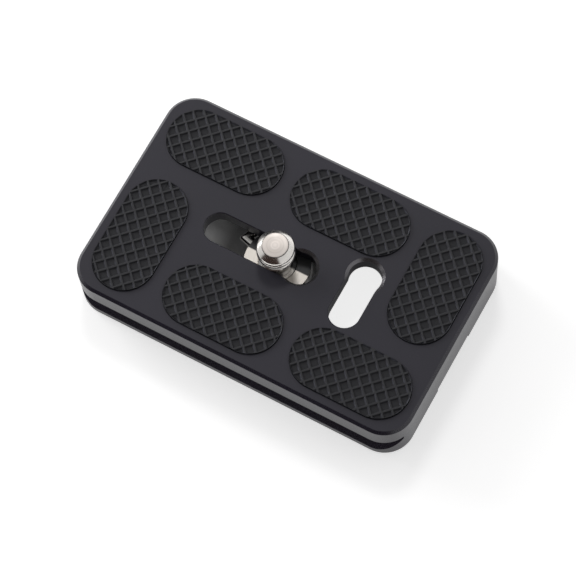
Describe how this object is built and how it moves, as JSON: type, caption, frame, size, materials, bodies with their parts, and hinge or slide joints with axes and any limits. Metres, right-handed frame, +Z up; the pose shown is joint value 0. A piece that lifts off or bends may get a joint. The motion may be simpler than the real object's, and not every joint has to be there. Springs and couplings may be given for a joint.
{
  "type": "quick release plate",
  "caption": "Dovetail quick release plate for a camera, with ribbed rubber pads, a sliding captive camera screw that carries a folding ring, and a keyhole cross slot.",
  "frame": {"origin": "middle of the underside, in the plane that the dovetail lips stand on", "axes": "+X along the plate, +Y across it away from the camera in the picture's view, +Z up through the camera screw"},
  "size_m": [0.06, 0.038, 0.014],
  "materials": {
    "black_metal": "bead-blasted and black anodised",
    "rubber": "matt moulded rubber",
    "nickel": "nickel plated, turned",
    "satin_steel": "satin",
    "polished_wire": "polished",
    "dark_steel": "black oxide"
  },
  "bodies": {
    "plate": {"plate_body": "black_metal", "pad_far_left": "rubber", "pad_far_middle": "rubber", "pad_right": "rubber", "pad_left": "rubber", "pad_near_middle": "rubber", "pad_near_right": "rubber", "stop_screw_left": "dark_steel", "stop_screw_right": "dark_steel"},
    "slider": {"screw_washer": "satin_steel"},
    "screw": {"camera_screw": "nickel"},
    "ring": {"d_ring": "polished_wire"}
  },
  "joints": [
    {"name": "screw_slide", "type": "slide", "parent": "plate", "child": "slider", "axis": [1, 0, 0], "range_m": [-0.01045, 0.00415]},
    {"name": "screw_turn", "type": "hinge", "parent": "slider", "child": "screw", "pos_m": [-0.00185, 0, 0.0065], "axis": [0, 0, 1], "continuous": true},
    {"name": "ring_fold", "type": "hinge", "parent": "screw", "child": "ring", "pos_m": [-0.00185, 0, 0.005], "axis": [-0.9613, 0.2756, 0], "range_deg": [0, 180]}
  ]
}
